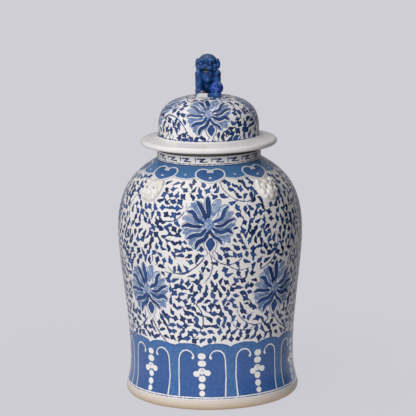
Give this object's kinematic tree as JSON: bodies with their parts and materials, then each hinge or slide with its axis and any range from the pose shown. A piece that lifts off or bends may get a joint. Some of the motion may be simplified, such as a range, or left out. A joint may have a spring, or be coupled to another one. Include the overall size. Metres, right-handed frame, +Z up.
{
  "type": "ginger jar",
  "caption": "Tall covered porcelain jar with a flared foot, high shoulder, short neck, flanged domed lid and a seated lion finial; the lid lifts off.",
  "frame": {"origin": "centre of the flat ring that the jar stands on", "axes": "+Z up along the jar's axis, -Y towards the front, +X to the viewer's right"},
  "size_m": [0.323, 0.323, 0.6],
  "materials": {
    "painted_porcelain": "white porcelain painted in underglaze cobalt blue under a clear gloss glaze",
    "white_glaze": "clear glaze over white porcelain, unpainted apart from the eyes",
    "cobalt_glaze": "thick mottled cobalt glaze, pale on the ridges and dark in the hollows",
    "unglazed_clay": "bare fired clay, toasted buff"
  },
  "bodies": {
    "jar": {"lower_section": "painted_porcelain", "upper_section": "painted_porcelain", "neck_collar": "painted_porcelain", "lion_mask_front_left": "white_glaze", "lion_mask_front_right": "white_glaze", "lion_mask_back_right": "white_glaze", "lion_mask_back_left": "white_glaze"},
    "lid": {"lid_dome": "painted_porcelain", "lid_locating_ring": "unglazed_clay", "finial_plinth": "cobalt_glaze", "lion_body": "cobalt_glaze", "lion_head": "cobalt_glaze", "lion_left_ear": "cobalt_glaze", "lion_right_ear": "cobalt_glaze", "lion_left_foreleg": "cobalt_glaze", "lion_right_foreleg": "cobalt_glaze", "lion_mane": "cobalt_glaze", "lion_tail": "cobalt_glaze", "lion_collar_bell": "cobalt_glaze", "lion_ball": "cobalt_glaze"}
  },
  "joints": [
    {"name": "lid_lift", "type": "slide", "parent": "jar", "child": "lid", "axis": [0, 0, 1], "range_m": [0, 0.25]}
  ]
}
